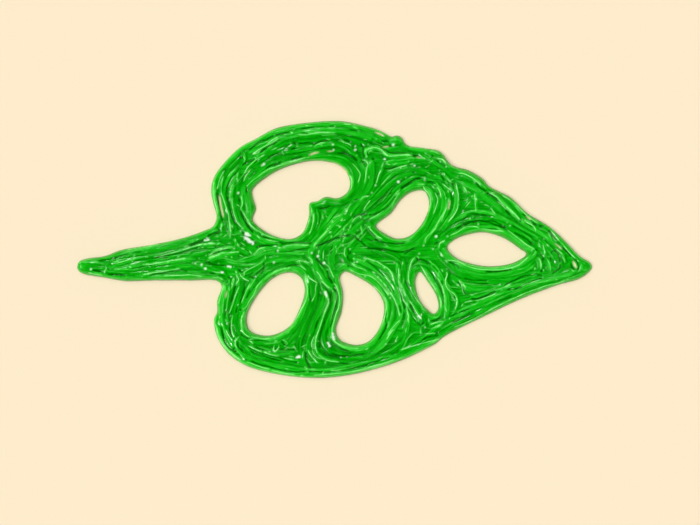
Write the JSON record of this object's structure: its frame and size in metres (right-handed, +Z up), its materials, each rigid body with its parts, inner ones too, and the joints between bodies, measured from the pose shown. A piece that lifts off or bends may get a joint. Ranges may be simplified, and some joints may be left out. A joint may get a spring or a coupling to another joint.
{
  "type": "plastic monstera leaf drawn with a 3d pen",
  "caption": "Flat heart-shaped ornamental leaf with a stalk and oval holes, drawn in fused lines of glossy green plastic with a 3D pen; lies on a surface.",
  "frame": {"origin": "under the middle of the leaf's length and width, on its flat underside", "axes": "+X along the leaf from the stalk to the tip, +Y across the leaf towards the lobe with the largest hole, +Z up through its thickness"},
  "size_m": [0.095, 0.0474, 0.0019],
  "materials": {
    "green_plastic": "gloss"
  },
  "bodies": {
    "root": {"leaf": "green_plastic"}
  },
  "joints": []
}
